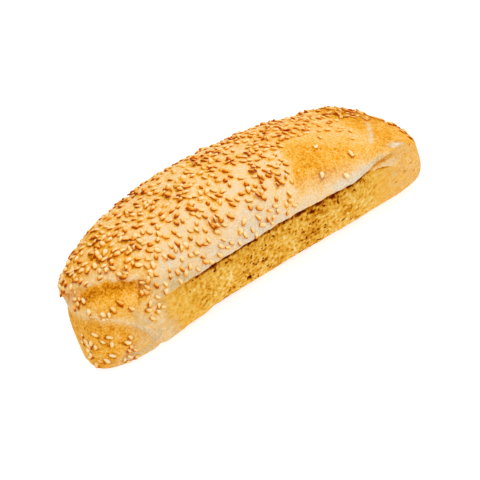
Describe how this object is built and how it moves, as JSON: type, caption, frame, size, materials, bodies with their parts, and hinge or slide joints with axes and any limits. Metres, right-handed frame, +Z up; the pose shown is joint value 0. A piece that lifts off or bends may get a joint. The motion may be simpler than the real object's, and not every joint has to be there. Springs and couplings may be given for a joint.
{
  "type": "hot dog bun",
  "caption": "Long baked hot dog bun with a domed crust strewn with sesame seeds, a torn band of crumb under the crust's lip along the front and folds round one end.",
  "frame": {"origin": "middle of the flat base, at the centre of the bounding box", "axes": "+X along the bun from the folded near end to the far end, +Y from the torn front band to the back, +Z up"},
  "size_m": [0.1716, 0.058, 0.0521],
  "materials": {
    "crust": "matt baked bread crust, golden on the dome, pale near the lip and mustard-gold on the torn band, strewn with ivory to toasted sesame seeds"
  },
  "bodies": {
    "root": {"bun": "crust"}
  },
  "joints": []
}
